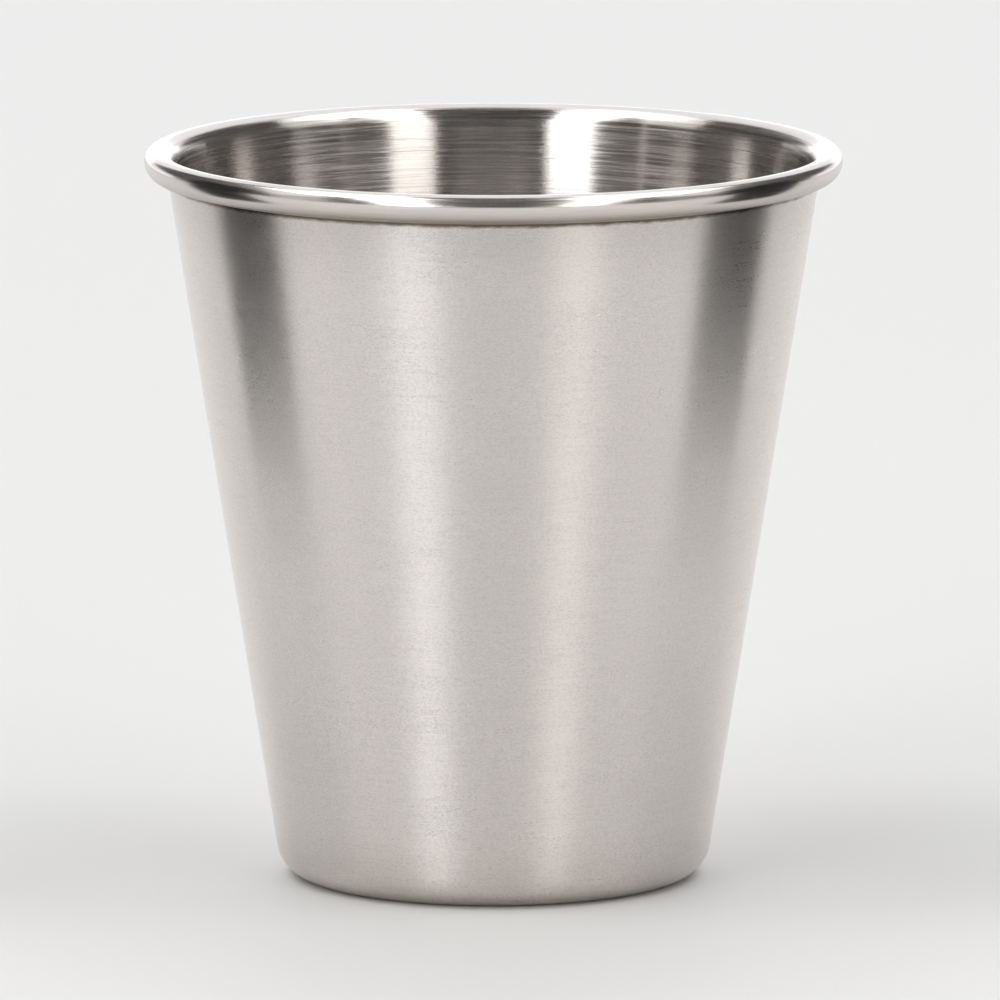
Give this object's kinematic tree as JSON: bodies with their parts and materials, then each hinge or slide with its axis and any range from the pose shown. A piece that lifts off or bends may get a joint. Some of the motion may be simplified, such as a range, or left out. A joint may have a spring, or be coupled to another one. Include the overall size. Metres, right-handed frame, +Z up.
{
  "type": "shot cup",
  "caption": "Tapered stainless steel shot cup with a rolled rim, a rounded base corner and a slightly raised base, for a single measure of spirits.",
  "frame": {"origin": "middle of the base, in the plane that the cup stands on", "axes": "+Z up along the cup's axis, from the base to the mouth; +X and +Y are any two square directions, as the cup is round"},
  "size_m": [0.04, 0.04, 0.0421],
  "materials": {
    "brushed_steel": "satin, brushed around the axis, with a more polished rolled rim"
  },
  "bodies": {
    "root": {"cup_shell": "brushed_steel"}
  },
  "joints": []
}
